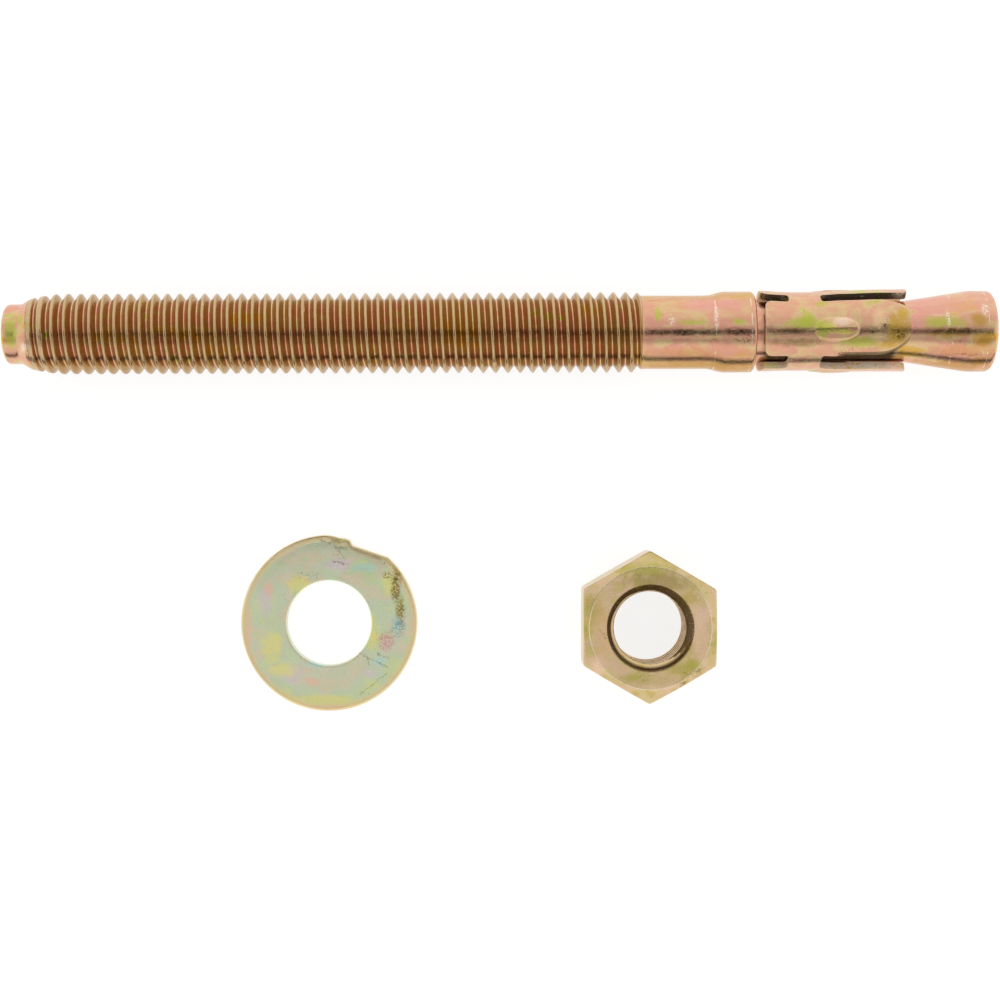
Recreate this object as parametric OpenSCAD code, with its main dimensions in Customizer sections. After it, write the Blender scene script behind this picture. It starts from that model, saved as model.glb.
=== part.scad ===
// Wedge anchor, M10, nominally 120 long, with its washer and nut taken off and laid beside it.
// The stud lies along X with its cone at +X. Z is up and z = 0 is the surface that everything lies on.

/* [Stud ends] */
// Diameter of the plain point before the thread
point_d = 7.25; // [6.6:0.05:7.6]
// Length of the plain point
point_len = 1.95; // [1:0.05:4]
// Length of the flare from the point up to the thread
point_flare_len = 1.2; // [0.8:0.1:2]
// Rounding of the struck end's edge
point_round = 0.5; // [0.2:0.05:1]

/* [Thread] */
// Diameter over the thread crests
thread_d = 9.76; // [9.6:0.02:9.98]
// Radial depth of the thread
thread_depth = 0.82; // [0.6:0.01:0.92]
// Thread pitch
thread_pitch = 1.5; // [1.25:0.05:1.75]
// Length of the threaded zone
thread_len = 73.7; // [30:0.1:110]
// Width of the flat on each crest
crest_flat = 0.34; // [0.1:0.01:0.4]
// Width of the flat in each root
root_flat = 0.2; // [0.1:0.01:0.34]
// Number of turns over which the thread grows to its full height
thread_starts_over = 5; // [1:1:8]
// Flats that one turn of the thread is drawn with
thread_facets = 20; // [12:2:22]
// Flats round the stud, from +Y, at which the thread starts
thread_start = 15; // [0:5:15]

/* [Shank and collar] */
// Diameter of the plain shank between thread and collar
shank_d = 8.88; // [8.5:0.02:9.1]
// Length of the plain shank
shank_len = 7.2; // [3:0.1:20]
// Length of the smooth swell from shank to collar
swell_len = 3.3; // [2:0.1:6]
// Diameter of the collar that pushes the clip into the hole
collar_d = 9.8; // [9.5:0.02:9.95]
// Length of the collar's cylindrical part
collar_len = 3.15; // [2:0.05:6]
// Rounding of the collar's edge beside the clip
collar_round = 0.45; // [0.1:0.05:0.8]

/* [Neck and cone] */
// Diameter of the neck that the clip turns on
neck_d = 7.26; // [7:0.02:7.4]
// Length of the neck
neck_len = 17.85; // [17.3:0.05:24]
// Length of the expansion cone
cone_len = 8.1; // [5:0.1:14]
// Diameter of the land at the end of the cone
land_d = 9.8; // [9.5:0.02:9.95]
// Length of the land
land_len = 2.8; // [1.5:0.1:6]
// Rounding of the land's end edge
land_round = 0.7; // [0.1:0.05:1]

/* [Expansion clip] */
// Length of the clip along the stud
clip_len = 17.5; // [15:0.1:18]
// Gap between the collar and the clip
clip_end_gap = 0.75; // [0.2:0.05:1]
// Radial running gap between the neck and the clip's web
clip_gap = 0.2; // [0.1:0.01:0.3]
// Sheet thickness of the clip
clip_wall = 0.92; // [0.6:0.01:1.1]
// How far the leaf tips stand out past the web
leaf_flare = 0.22; // [0.1:0.01:0.35]
// How far the lips beside the collar stand out past the web
lip_flare = 0.12; // [0:0.01:0.25]
// Length of the lips beside the collar
lip_len = 3.2; // [2:0.1:4]
// Length of the webs that join the leaves
web_len = 3.8; // [2:0.1:5]
// How far into a web the bends of its lips and leaves reach
bend_reach = 0.8; // [0.3:0.05:0.9]
// Angle that the middle leaf spans round the neck
middle_leaf_deg = 86; // [80:1:90]
// Width of the gap between the middle leaf and the side leaf at +Y
near_gap_w = 1.5; // [1.1:0.05:1.7]
// Width of the gap between the middle leaf and the side leaf at -Y
far_gap_w = 2.6; // [2:0.05:2.6]
// Rounding in the gaps' closed corners
gap_corner_r = 0.45; // [0.1:0.05:0.5]
// Angle of the opening between the side leaves, on the underside
seam_deg = 72; // [50:1:80]
// Radius of the lips' corners
lip_corner_r = 0.9; // [0.3:0.05:1.2]
// Length over which the middle leaf narrows to its tip
tip_len = 3.5; // [1.5:0.1:5]
// Width of the middle leaf's blunt tip
tip_w = 4.5; // [3:0.1:5.5]
// Radius of the side leaves' corners
side_corner_r = 0.5; // [0.2:0.05:0.9]
// Angle between the raised wedges of the middle leaf and the side leaves
boss_pitch_deg = 101; // [98:1:104]
// Distance of the raised wedge's peak from the collar end of the clip
boss_at = 8.1; // [7.9:0.1:9.5]
// Length of the raised wedge on the collar's side of its peak
boss_rise_len = 1.8; // [1:0.1:3]
// Length of the raised wedge on the cone's side of its peak
boss_fall_len = 3.6; // [2:0.1:4.5]
// Width of the raised wedge at its peak
boss_w = 3; // [2:0.05:3.6]
// Height of the raised wedge over the leaf
boss_h = 0.26; // [0.15:0.01:0.35]

/* [Washer] */
// Outside diameter of the washer
washer_d = 21.7; // [18:0.1:30]
// Hole diameter of the washer
washer_hole_d = 10.5; // [10.2:0.05:11.5]
// Thickness of the washer
washer_t = 2; // [1:0.1:3]
// Rounding of the washer's stamped edges
washer_round = 0.4; // [0.1:0.05:0.45]
// Depth of the sheared bite in the washer's rim
bite_depth = 0.86; // [0.2:0.02:1.5]
// Start angle of the bite, from +X
bite_from = 48; // [0:1:180]
// Angle that the bite spans
bite_span = 25; // [10:1:40]

/* [Nut] */
// Width of the nut across its flats
nut_af = 16; // [14:0.1:19]
// Height of the nut
nut_h = 8.4; // [5:0.1:12]
// Bore of the nut at its thread's minor diameter
nut_bore_d = 8.38; // [8:0.02:8.7]
// Diameter of the countersinks at both ends of the bore
nut_sink_d = 10.7; // [10:0.1:11.5]
// Diameter of the flat circle on the nut's faces, as a share of its width across flats
nut_face_share = 0.92; // [0.85:0.01:0.97]
// Slope of the nut's corner chamfers
nut_chamfer_deg = 30; // [15:1:35]
// Turn of the nut as it lies
nut_turn_deg = -0.4; // [-30:0.1:30]

/* [Layout] */
// Distance of the stud's axis from the middle of the layout
stud_y = 20.6; // [18:0.1:40]
// Washer centre along the stud
washer_x = -21; // [-45:0.1:-14]
// Washer centre across the layout
washer_y = -14.8; // [-30:0.1:-8]
// Nut centre along the stud
nut_x = 18.1; // [12:0.1:45]
// Nut centre across the layout
nut_y = -15.1; // [-30:0.1:-8]

/* [Hidden] */

// Fineness of round parts
$fn = 96;
// Overlap that cutters run past the faces that they open
past = 1;
// A full turn
turn = 360;
// Leaves on the clip: a middle one, and one on each side of it
leaf_sides = [-1, 0, 1];

// Stations along the stud, from its struck end at -X
stud_len = point_len + point_flare_len + thread_len + shank_len + swell_len + collar_len
  + neck_len + cone_len + land_len;
x_start = -stud_len / 2;
x_flare = x_start + point_len;
x_thread = x_flare + point_flare_len;
x_shank = x_thread + thread_len;
x_swell = x_shank + shank_len;
x_collar = x_swell + swell_len;
x_neck = x_collar + collar_len;
x_cone = x_neck + neck_len;
x_land = x_cone + cone_len;
x_end = x_land + land_len;

// Radii of the stud
point_r = point_d / 2;
crest_r = thread_d / 2;
root_r = crest_r - thread_depth;
shank_r = shank_d / 2;
collar_r = collar_d / 2;
neck_r = neck_d / 2;
land_r = land_d / 2;

// The thread's turns, as many as the threaded zone holds, and the room left before the first
flank_w = (thread_pitch - crest_flat - root_flat) / 2;
thread_turns = floor(thread_len / thread_pitch) - 1;
thread_lead = (thread_len - (thread_turns + 1) * thread_pitch) / 2 + root_flat / 2;
// The first crest's share of the full height, and how the next ones close in on it
first_crest_share = 0.3;
crest_growth_power = 2.2;

// Stations and radii of the clip, along its own axis from its collar end
clip_web_r = neck_r + clip_gap + clip_wall;
clip_lip_r = clip_web_r + lip_flare;
clip_leaf_r = clip_web_r + leaf_flare;
clip_slot_at = lip_len + web_len;
leaf_len = clip_len - clip_slot_at;
// Shares of the leaf's length where its flare and its bent part end
flare_bend_share = 0.35;
flare_full_share = 0.75;
// Share of its radius by which a rounded corner stands back at a piece's end
corner_share = 0.8;
// How deep the middle leaf's tip is trimmed, in half widths of the gap beside it
trim_depth_share = 1.5;
x_clip = x_neck + clip_end_gap;

// The stud lies on its collar and land, or on its thread where that is larger
axis_z = max(collar_r, land_r, crest_r);

// Turns over which the ridge rises out of the root at its start and sinks back at its end
thread_entry_turns = 0.5;
thread_exit_turns = 0.7;

// Height of the ridge over the root after t turns
function ridge_rise(t) =
  let (
    grown = 1 - (1 - first_crest_share) * pow(max(0, 1 - t / thread_starts_over), crest_growth_power),
    entry = min(1, t / thread_entry_turns),
    exit = min(1, (thread_turns - t) / thread_exit_turns)
  )
  thread_depth * grown * entry * exit;

// Section of the ridge over one pitch: distance along the stud and share of the ridge's height
ridge_section = [
  [0, 0],
  [flank_w, 1],
  [flank_w + crest_flat, 1],
  [2 * flank_w + crest_flat, 0]
];

// How far the thread's round ends run into the plain parts beside it
thread_bury = 0.5;

function on_ring(x, r, a) = [x, r * cos(a), r * sin(a)];

function round_ring(x, sides) = [for (j = [0:sides - 1]) on_ring(x, root_r, turn * (j + thread_start) / sides)];

function quad(a, b, c, d) = [[a, c, b], [a, d, c]];

// Right-hand thread as one closed surface: root and ridge wind along it, and a plain ring ends it at each end.
// A row is the section's k points at one angle, and row i + sides lies one turn after row i.
module helical_thread() {
  sides = thread_facets;
  k = len(ridge_section);
  last = thread_turns * sides;
  x_first = x_thread + thread_lead;
  x_ring_a = x_thread - flare_land / 2;
  x_ring_b = x_shank + thread_bury;
  winding = [for (i = [0:last]) for (p = ridge_section) let (t = i / sides)
    on_ring(x_first + t * thread_pitch + p[0], root_r + ridge_rise(t) * p[1], turn * (i + thread_start) / sides)];
  points = concat(
    winding,
    round_ring(x_ring_a, sides),
    round_ring(x_ring_b, sides),
    [[x_ring_a, 0, 0], [x_ring_b, 0, 0]]
  );
  ring_a = len(winding);
  ring_b = ring_a + sides;
  mid_a = ring_b + sides;
  mid_b = mid_a + 1;

  // The rows' own faces, and those from each row to the one a turn later
  ridge_faces = [for (i = [0:last - 1]) for (p = [0:k - 2])
    each quad(i * k + p, i * k + p + 1, (i + 1) * k + p + 1, (i + 1) * k + p)];
  root_faces = [for (i = [0:last - 1 - sides])
    each quad(i * k + k - 1, (i + sides) * k, (i + sides + 1) * k, (i + 1) * k + k - 1)];

  // From the first ring to the first turn, whose last face takes in the step of one pitch
  step_a = [sides * k, for (p = [k - 1:-1:0]) p, ring_a];
  start_faces = concat(
    [for (j = [0:sides - 2]) each quad(ring_a + j, j * k, (j + 1) * k, ring_a + j + 1)],
    [[ring_a + sides - 1, (sides - 1) * k, sides * k]],
    [for (q = [0:k]) [ring_a + sides - 1, step_a[q], step_a[q + 1]]]
  );

  // From the last turn to the second ring, in the same way
  turn_back = (last - sides) * k + k - 1;
  step_b = [ring_b, for (p = [k - 1:-1:0]) last * k + p, turn_back];
  end_faces = concat(
    [for (j = [1:sides - 1]) each
      quad(turn_back + j * k, ring_b + j, ring_b + (j + 1) % sides, turn_back + (j + 1) * k)],
    [[turn_back + k, ring_b, ring_b + 1]],
    [for (q = [0:k]) [turn_back + k, step_b[q + 1], step_b[q]]]
  );

  cap_faces = [for (j = [0:sides - 1]) let (n = (j + 1) % sides)
    each [[mid_a, ring_a + j, ring_a + n], [mid_b, ring_b + n, ring_b + j]]];

  polyhedron(points, concat(ridge_faces, root_faces, start_faces, end_faces, cap_faces));
}

// Points on a quarter round of radius r about [x, y], from angle a to angle b
arc_steps = 6;
function arc(x, y, r, a, b) =
  [for (i = [0:arc_steps]) let (t = a + (b - a) * i / arc_steps) [x + r * cos(t), y + r * sin(t)]];

// Smooth step between two radii, as the die leaves it
swell_steps = 8;
function swell(x, len, r1, r2) =
  [for (i = [0:swell_steps]) let (t = i / swell_steps)
    [x + len * t, r1 + (r2 - r1) * (1 - cos(180 * t)) / 2]];

// Length of the plain land that ends the flare, and how far it stands over the thread's root
flare_land = 0.4;
land_rise = 0.06;
// Share of the root's radius at which the plain parts end inside the thread
bury_share = 0.93;

// Outline of the struck end, from its face to where it is buried in the thread
function point_outline() = concat(
  [[x_start, 0]],
  arc(x_start + point_round, point_r - point_round, point_round, 180, 90),
  swell(x_flare, point_flare_len - flare_land, point_r, root_r + land_rise),
  [[x_thread, root_r + land_rise]],
  [[x_thread + root_r * (1 - bury_share), root_r * bury_share]],
  [[x_thread + root_r * (1 - bury_share), 0]]
);

// Outline of the plain shank, collar, neck, cone and land
function shank_outline() = concat(
  [[x_shank - root_r * (1 - bury_share), 0]],
  [[x_shank - root_r * (1 - bury_share), root_r * bury_share]],
  [[x_shank + shank_r - root_r, shank_r]],
  swell(x_swell, swell_len, shank_r, collar_r),
  arc(x_neck - collar_round, collar_r - collar_round, collar_round, 90, 0),
  [[x_neck, neck_r], [x_cone, neck_r], [x_land, land_r]],
  arc(x_end - land_round, land_r - land_round, land_round, 90, 0),
  [[x_end, 0]]
);

// Turns a profile drawn as X and radius about the stud's axis
module turned() {
  rotate([0, 90, 0])
    rotate_extrude()
      rotate(90)
        children();
}

// Sets a piece that is drawn about the X axis in its place in the layout
module on_axis() {
  translate([0, stud_y, axis_z])
    children();
}

module anchor_stud() {
  color("goldenrod")
    on_axis()
      union() {
        turned()
          polygon(point_outline());
        helical_thread();
        turned()
          polygon(shank_outline());
      }
}

// Wall of the clip before it is cut: a rolled sleeve with its lips and leaves bent outwards
module clip_wall_profile() {
  outer = [
    [0, clip_lip_r],
    [lip_len + bend_reach, clip_web_r],
    [clip_slot_at - bend_reach, clip_web_r],
    [clip_slot_at + leaf_len * flare_bend_share, clip_web_r + leaf_flare * flare_full_share],
    [clip_slot_at + leaf_len * flare_full_share, clip_leaf_r],
    [clip_len, clip_leaf_r]
  ];
  inner = [for (i = [len(outer) - 1:-1:0]) [outer[i][0], outer[i][1] - clip_wall]];
  polygon(concat(outer, inner));
}

// Plan of a gap of width w, looking in along the radius: closed at x = 0 and open towards +X
module gap_plan(w) {
  r = gap_corner_r;
  polygon(concat(
    arc(r, w / 2 - r, r, 90, 180),
    arc(r, r - w / 2, r, 180, 270),
    [[clip_len, -w / 2], [clip_len, w / 2]]
  ));
}

// Plan of the slot between two leaves, and of the notch in line with it between their lips
module leaf_gap_plan(w) {
  translate([clip_slot_at, 0])
    gap_plan(w);
  corner_plan(clip_len, -1, w / 2, side_corner_r, side_corner_r * corner_share);
  translate([lip_len, 0])
    mirror([1, 0])
      gap_plan(w);
  corner_plan(0, 1, w / 2, lip_corner_r, lip_corner_r * corner_share);
}

// A gap widens at its open end x, where the corners beside it are rounded to r and so stand back by d there
module corner_plan(x, inward, half, r, d) {
  side = concat(corner_rim(x, inward, half, r, d), [[x - inward * past, half + d]]);
  polygon(concat(side, [for (i = [len(side) - 1:-1:0]) [side[i][0], -side[i][1]]]));
}

function corner_rim(x, inward, half, r, d) =
  let (sweep = acos(1 - d / r))
  [for (i = [0:arc_steps]) let (a = sweep * i / arc_steps)
    [x + inward * r * (sin(sweep) - sin(a)), half + r * (1 - cos(a))]];

// Plan of what is trimmed off both corners of the middle leaf, looking down on it
module tip_trim_plan() {
  leaf_half = clip_leaf_r * sin(middle_leaf_deg / 2);
  back = leaf_half - tip_w / 2;
  r = (tip_len * tip_len + back * back) / (2 * back);
  sweep = asin(tip_len / r);
  rim = [for (i = [0:arc_steps]) let (a = sweep * i / arc_steps)
    [clip_len - tip_len + r * sin(a), leaf_half - r * (1 - cos(a))]];
  for (side = [0, 1])
    mirror([0, side])
      polygon(concat(
        rim,
        [[clip_len + past, tip_w / 2], [clip_len + past, clip_leaf_r], [rim[0][0], clip_leaf_r]]
      ));
}

// Cuts through the sleeve, at the angle a round the axis from straight up towards +Y
module radial_cut(a) {
  rotate([-a, 0, 0])
    linear_extrude(clip_leaf_r + past)
      children();
}

// Wedge that opens the seam on the sleeve's underside
module seam_cut() {
  reach = clip_leaf_r + past;
  translate([-past, 0, 0])
    rotate([90, 0, 90])
      linear_extrude(clip_len + 2 * past)
        polygon([
          [0, 0],
          [-reach * tan(seam_deg / 2), -reach],
          [reach * tan(seam_deg / 2), -reach]
        ]);
}

// Raised wedge on a leaf: a turned drop sunk in the sheet, steep towards the collar and long towards the cone
module leaf_boss() {
  half_w = boss_w / 2;
  peak_r = clip_web_r + leaf_flare / 2 + boss_h;
  side_drop = boss_h + clip_leaf_r - sqrt(clip_leaf_r * clip_leaf_r - half_w * half_w);
  drop_r = (half_w * half_w + side_drop * side_drop) / (2 * side_drop);
  intersection() {
    translate([0, 0, peak_r - drop_r])
      turned()
        polygon([
          [boss_at - boss_rise_len, 0],
          [boss_at - boss_rise_len, drop_r - boss_h - leaf_flare / 2],
          [boss_at - boss_rise_len / 2, drop_r - boss_h / 4],
          [boss_at, drop_r],
          [boss_at + boss_fall_len, drop_r - boss_h],
          [boss_at + boss_fall_len, 0]
        ]);
    translate([0, -boss_w, clip_web_r - clip_wall / 2])
      cube([clip_len, 2 * boss_w, clip_wall + boss_h]);
  }
}

module expansion_clip() {
  // Angles from the middle leaf's edge to the middle of each gap, and to where the near side leaf begins
  near_half = asin(near_gap_w / 2 / clip_leaf_r);
  far_half = asin(far_gap_w / 2 / clip_leaf_r);
  color("tan")
    on_axis()
      translate([x_clip, 0, 0]) {
        difference() {
          turned()
            clip_wall_profile();
          radial_cut(middle_leaf_deg / 2 + near_half)
            leaf_gap_plan(near_gap_w);
          radial_cut(-middle_leaf_deg / 2 - far_half)
            leaf_gap_plan(far_gap_w);
          translate([0, 0, clip_leaf_r * cos(middle_leaf_deg / 2 + near_half * trim_depth_share)])
            linear_extrude(clip_leaf_r)
              tip_trim_plan();
          seam_cut();
        }
        for (side = leaf_sides)
          rotate([side * boss_pitch_deg, 0, 0])
            leaf_boss();
      }
}

// The washer's section, with stamped edges rounded at its outside
module washer_profile() {
  r = washer_d / 2;
  hole_r = washer_hole_d / 2;
  polygon(concat(
    [[hole_r, 0]],
    arc(r - washer_round, washer_round, washer_round, -90, 0),
    arc(r - washer_round, washer_t - washer_round, washer_round, 0, 90),
    [[hole_r, washer_t]]
  ));
}

// The sheared bite: a straight chord with a steep shoulder and a bruise that fades out
module washer_bite() {
  r = washer_d / 2;
  shoulder_deg = 3;
  bruise_deg = 16;
  bruise_depth = bite_depth * 0.3;
  top = bite_from + bite_span;
  outline = [
    [bite_from, r],
    [top, r - bite_depth],
    [top + shoulder_deg, r - bruise_depth],
    [top + shoulder_deg + bruise_deg / 2, r - bruise_depth / 2],
    [top + shoulder_deg + bruise_deg, r]
  ];
  outside = [for (i = [len(outline) - 1:-1:0]) [outline[i][0], r + past]];
  translate([0, 0, -past])
    linear_extrude(washer_t + 2 * past)
      polygon([for (p = concat(outline, outside)) p[1] * [cos(p[0]), sin(p[0])]]);
}

module flat_washer() {
  color("khaki")
    translate([washer_x, washer_y, 0])
      difference() {
        rotate_extrude()
          washer_profile();
        washer_bite();
      }
}

// Cone that chamfers the six corners at one end of the nut
module nut_blank() {
  hex_side = 6;
  corner_r = nut_af / 2 / cos(180 / hex_side);
  face_r = nut_af / 2 * nut_face_share;
  drop = (corner_r + past - face_r) * tan(nut_chamfer_deg);
  intersection() {
    linear_extrude(nut_h)
      rotate(90)
        circle(r = corner_r, $fn = hex_side);
    rotate_extrude()
      polygon([
        [0, 0],
        [face_r, 0],
        [corner_r + past, drop],
        [corner_r + past, nut_h - drop],
        [face_r, nut_h],
        [0, nut_h]
      ]);
  }
}

module hex_nut() {
  bore_r = nut_bore_d / 2;
  sink_r = nut_sink_d / 2;
  sink_depth = sink_r - bore_r;
  color("darkkhaki")
    translate([nut_x, nut_y, 0])
      rotate(nut_turn_deg)
        difference() {
          nut_blank();
          translate([0, 0, -past])
            cylinder(r = bore_r, h = nut_h + 2 * past);
          rotate_extrude()
            polygon([[0, -past], [sink_r + past, -past], [0, sink_r]]);
          translate([0, 0, nut_h])
            rotate_extrude()
              polygon([[0, past], [sink_r + past, past], [0, -sink_r]]);
        }
}

anchor_stud();
expansion_clip();
flat_washer();
hex_nut();
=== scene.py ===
import math

import bpy
import numpy as np
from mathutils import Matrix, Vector


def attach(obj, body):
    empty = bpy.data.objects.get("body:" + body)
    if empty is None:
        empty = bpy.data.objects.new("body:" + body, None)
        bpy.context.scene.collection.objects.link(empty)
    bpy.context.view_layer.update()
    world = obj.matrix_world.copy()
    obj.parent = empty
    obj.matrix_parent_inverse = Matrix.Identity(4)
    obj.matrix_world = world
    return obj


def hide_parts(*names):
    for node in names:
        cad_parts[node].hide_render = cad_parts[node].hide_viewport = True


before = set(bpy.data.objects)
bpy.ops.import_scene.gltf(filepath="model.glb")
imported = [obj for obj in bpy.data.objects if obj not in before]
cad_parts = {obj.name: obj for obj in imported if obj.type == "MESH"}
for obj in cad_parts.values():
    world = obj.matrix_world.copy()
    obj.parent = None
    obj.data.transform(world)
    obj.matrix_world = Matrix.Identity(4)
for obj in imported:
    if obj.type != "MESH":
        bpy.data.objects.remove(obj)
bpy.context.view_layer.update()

# All lengths below are in millimetres and become metres when a mesh is made.
MM = 0.001
PI = math.pi
TURN = 2 * PI

# Sizes repeated from the part's source
STUD_Y, AXIS_Z = 20.6, 4.9
X_START, X_FLARE, X_THREAD, X_SHANK = -59.625, -57.675, -56.475, 17.225
X_SWELL, X_COLLAR, X_NECK, X_CONE, X_LAND, X_END = 24.425, 27.725, 30.875, 48.725, 56.825, 59.625
POINT_R, ROOT_R, CREST_R, SHANK_R = 3.625, 4.06, 4.88, 4.44
COLLAR_R, NECK_R, LAND_R = 4.9, 3.63, 4.9
POINT_ROUND, COLLAR_ROUND, LAND_ROUND = 0.5, 0.45, 0.7
PITCH, CREST_FLAT, ROOT_FLAT = 1.5, 0.18, 0.12
X_LAST_CREST = 16.885
CLIP_X, CLIP_LEN, CLIP_WALL = 31.625, 17.5, 0.92
WEB_R, LIP_R, LEAF_R = 4.75, 4.87, 4.97
LIP_LEN, SLOT_AT = 3.2, 7.0
MIDDLE_HALF = math.radians(43)
NEAR_HALF_W, FAR_HALF_W = 0.75, 1.3
SEAM_AT = math.radians(144)
BOSS_PITCH = math.radians(101)
BOSS_AT, BOSS_H = 8.04, 0.26
TIP_LEN, TIP_W = 3.5, 4.0
WASHER = (-21.0, -14.8)
WASHER_R, WASHER_HOLE_R, WASHER_T = 10.85, 5.25, 2.0
NUT = (18.1, -15.1)
NUT_AF, NUT_H, NUT_TURN = 16.0, 8.4, math.radians(-0.4)


def smooth(t):
    """Goes from 0 to 1 as t does, with flat ends."""
    t = np.clip(t, 0.0, 1.0)
    return t * t * (3 - 2 * t)


def soft_min(a, b, k):
    h = np.clip(0.5 + 0.5 * (b - a) / k, 0, 1)
    return b * (1 - h) + a * h - k * h * (1 - h)


def soft_max(a, b, k):
    return -soft_min(-a, -b, k)


def ripple(x, y, seed, scale):
    """Cheap smooth noise from a few seeded sine waves, about -1 to 1, with features of about scale."""
    rng = np.random.default_rng(seed)
    out = 0.0
    for i in range(7):
        a = rng.uniform(0, TURN)
        f = TURN / scale * rng.uniform(0.5, 1.5)
        out = out + np.sin(f * (math.cos(a) * x + math.sin(a) * y) + rng.uniform(0, TURN))
    return out / 3.5


def build(name, verts, faces, body, node, mat, extra=None):
    """Makes a smooth-shaded mesh object from millimetre points, which stands for one CAD node."""
    me = bpy.data.meshes.new(name)
    v = np.asarray(verts, dtype=float) * MM
    me.from_pydata(v.tolist(), [], faces)
    me.validate()
    me.polygons.foreach_set("use_smooth", [True] * len(me.polygons))
    for key, values in (extra or {}).items():
        a = me.attributes.new(key, "FLOAT", "POINT")
        a.data.foreach_set("value", np.asarray(values, dtype=np.float32))
    me.update()
    o = bpy.data.objects.new(name, me)
    bpy.context.scene.collection.objects.link(o)
    o.data.materials.append(mat)
    if node:
        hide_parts(node)
    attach(o, body)
    return o


# Materials

def srgb(r, g, b):
    def lin(c):
        c /= 255
        return c / 12.92 if c <= 0.04045 else ((c + 0.055) / 1.055) ** 2.4
    return (lin(r), lin(g), lin(b), 1.0)


class Nodes:
    """Short names for wiring up a material."""

    def __init__(self, mat):
        mat.use_nodes = True
        self.tree = mat.node_tree
        self.tree.nodes.clear()

    def add(self, kind, **values):
        n = self.tree.nodes.new(kind)
        for key, value in values.items():
            if hasattr(n, key):
                setattr(n, key, value)
            else:
                n.inputs[key.replace("_", " ")].default_value = value
        return n

    def link(self, a, b):
        self.tree.links.new(a, b)

    def math(self, op, a, b=None, clamp=False):
        n = self.add("ShaderNodeMath", operation=op, use_clamp=clamp)
        for i, x in enumerate((a, b)):
            if x is None:
                continue
            if isinstance(x, (int, float)):
                n.inputs[i].default_value = x
            else:
                self.link(x, n.inputs[i])
        return n.outputs[0]

    def noise(self, coords, scale, detail=3.0, rough=0.5, distort=0.0):
        n = self.add("ShaderNodeTexNoise", Scale=scale, Detail=detail, Roughness=rough, Distortion=distort)
        self.link(coords, n.inputs["Vector"])
        return n.outputs["Fac"]

    def mapped(self, coords, scale, offset=(0, 0, 0), turn=(0, 0, 0)):
        n = self.add("ShaderNodeMapping")
        n.inputs["Scale"].default_value = scale
        n.inputs["Location"].default_value = offset
        n.inputs["Rotation"].default_value = turn
        self.link(coords, n.inputs["Vector"])
        return n.outputs["Vector"]

    def ramp(self, fac, stops, mode="EASE"):
        n = self.add("ShaderNodeValToRGB")
        n.color_ramp.interpolation = mode
        el = n.color_ramp.elements
        while len(el) < len(stops):
            el.new(0.5)
        for e, (pos, col) in zip(el, stops):
            e.position = pos
            e.color = col
        self.link(fac, n.inputs["Fac"])
        return n.outputs["Color"]

    def mix(self, fac, a, b, mode="MIX"):
        n = self.add("ShaderNodeMix", data_type="RGBA", blend_type=mode)
        for sock, x in ((n.inputs[0], fac), (n.inputs[6], a), (n.inputs[7], b)):
            if isinstance(x, (int, float)):
                sock.default_value = x
            elif isinstance(x, tuple):
                sock.default_value = x
            else:
                self.link(x, sock)
        return n.outputs[2]

    def bump(self, height, strength, distance, normal=None):
        n = self.add("ShaderNodeBump", Strength=strength, Distance=distance)
        self.link(height, n.inputs["Height"])
        if normal is not None:
            self.link(normal, n.inputs["Normal"])
        return n.outputs["Normal"]


def grey(v):
    return (v, v, v, 1.0)


LIME = srgb(188, 192, 82)
GOLD = srgb(222, 174, 88)
PINK = srgb(224, 168, 140)
ROSE = srgb(222, 160, 138)
SAND = srgb(220, 188, 142)
PALE = srgb(240, 226, 200)
BROWN = srgb(118, 84, 46)
OLIVE = srgb(140, 128, 60)


def spots(n, mm, places, wobble):
    """Mask of soft round patches, each (x, y, z, half length, half width), with edges that wander."""
    total = None
    for x, y, z, rx, ry in places:
        v = n.add("ShaderNodeVectorMath", operation="SUBTRACT")
        n.link(mm, v.inputs[0])
        v.inputs[1].default_value = (x, y, z)
        d = n.add("ShaderNodeVectorMath", operation="MULTIPLY")
        n.link(v.outputs[0], d.inputs[0])
        d.inputs[1].default_value = (1 / rx, 1 / ry, 1 / (2 * ry))
        r = n.add("ShaderNodeVectorMath", operation="LENGTH")
        n.link(d.outputs[0], r.inputs[0])
        near = n.math("SUBTRACT", 1.25, n.math("ADD", r.outputs["Value"], wobble), True)
        total = near if total is None else n.math("MAXIMUM", total, near)
    m = n.add("ShaderNodeMapRange", interpolation_type="SMOOTHSTEP")
    m.inputs["From Min"].default_value = 0.0
    m.inputs["From Max"].default_value = 0.85
    n.link(total, m.inputs["Value"])
    return m.outputs["Result"]


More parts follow.
